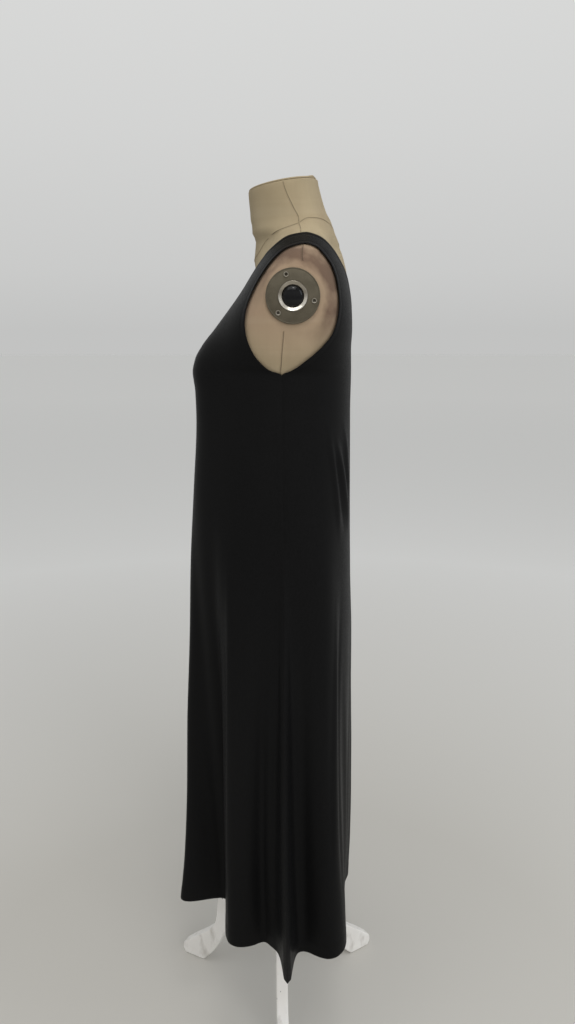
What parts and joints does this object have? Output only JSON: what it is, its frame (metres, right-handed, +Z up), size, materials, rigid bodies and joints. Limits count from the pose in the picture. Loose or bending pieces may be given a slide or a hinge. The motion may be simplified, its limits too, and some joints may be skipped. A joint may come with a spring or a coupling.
{
  "type": "midi dress on a limbless dress form and stand",
  "caption": "Plain sleeveless V-neck midi dress in soft jersey, hanging in flutes from a limbless linen-covered dress form on a white cast stand.",
  "frame": {"origin": "on the floor under the axis of the stand's column", "axes": "+Z up, -Y towards the front of the dress, +X towards the wearer's left"},
  "size_m": [0.5549, 0.381, 1.4538],
  "materials": {
    "jersey": "black matte jersey with a faint sheen",
    "linen": "beige woven linen, stretched tight",
    "plate_metal": "dull grey-brown metal",
    "chrome": "polished",
    "gloss_black": "glossy black",
    "white_paint": "worn white paint"
  },
  "bodies": {
    "root": {"dress_front": "jersey", "dress_back": "jersey", "form_torso": "linen", "form_neck_cap": "linen", "arm_plate_left": "plate_metal", "arm_plate_right": "plate_metal", "socket_ring_left": "chrome", "socket_ring_right": "chrome", "socket_ball_left": "gloss_black", "socket_ball_right": "gloss_black", "plate_screw_left_1": "chrome", "plate_screw_left_2": "chrome", "plate_screw_left_3": "chrome", "plate_screw_right_1": "chrome", "plate_screw_right_2": "chrome", "plate_screw_right_3": "chrome", "stand_collar": "white_paint", "stand_column": "white_paint", "stand_hub": "white_paint", "stand_leg_1": "white_paint", "stand_leg_2": "white_paint", "stand_leg_3": "white_paint"}
  },
  "joints": []
}
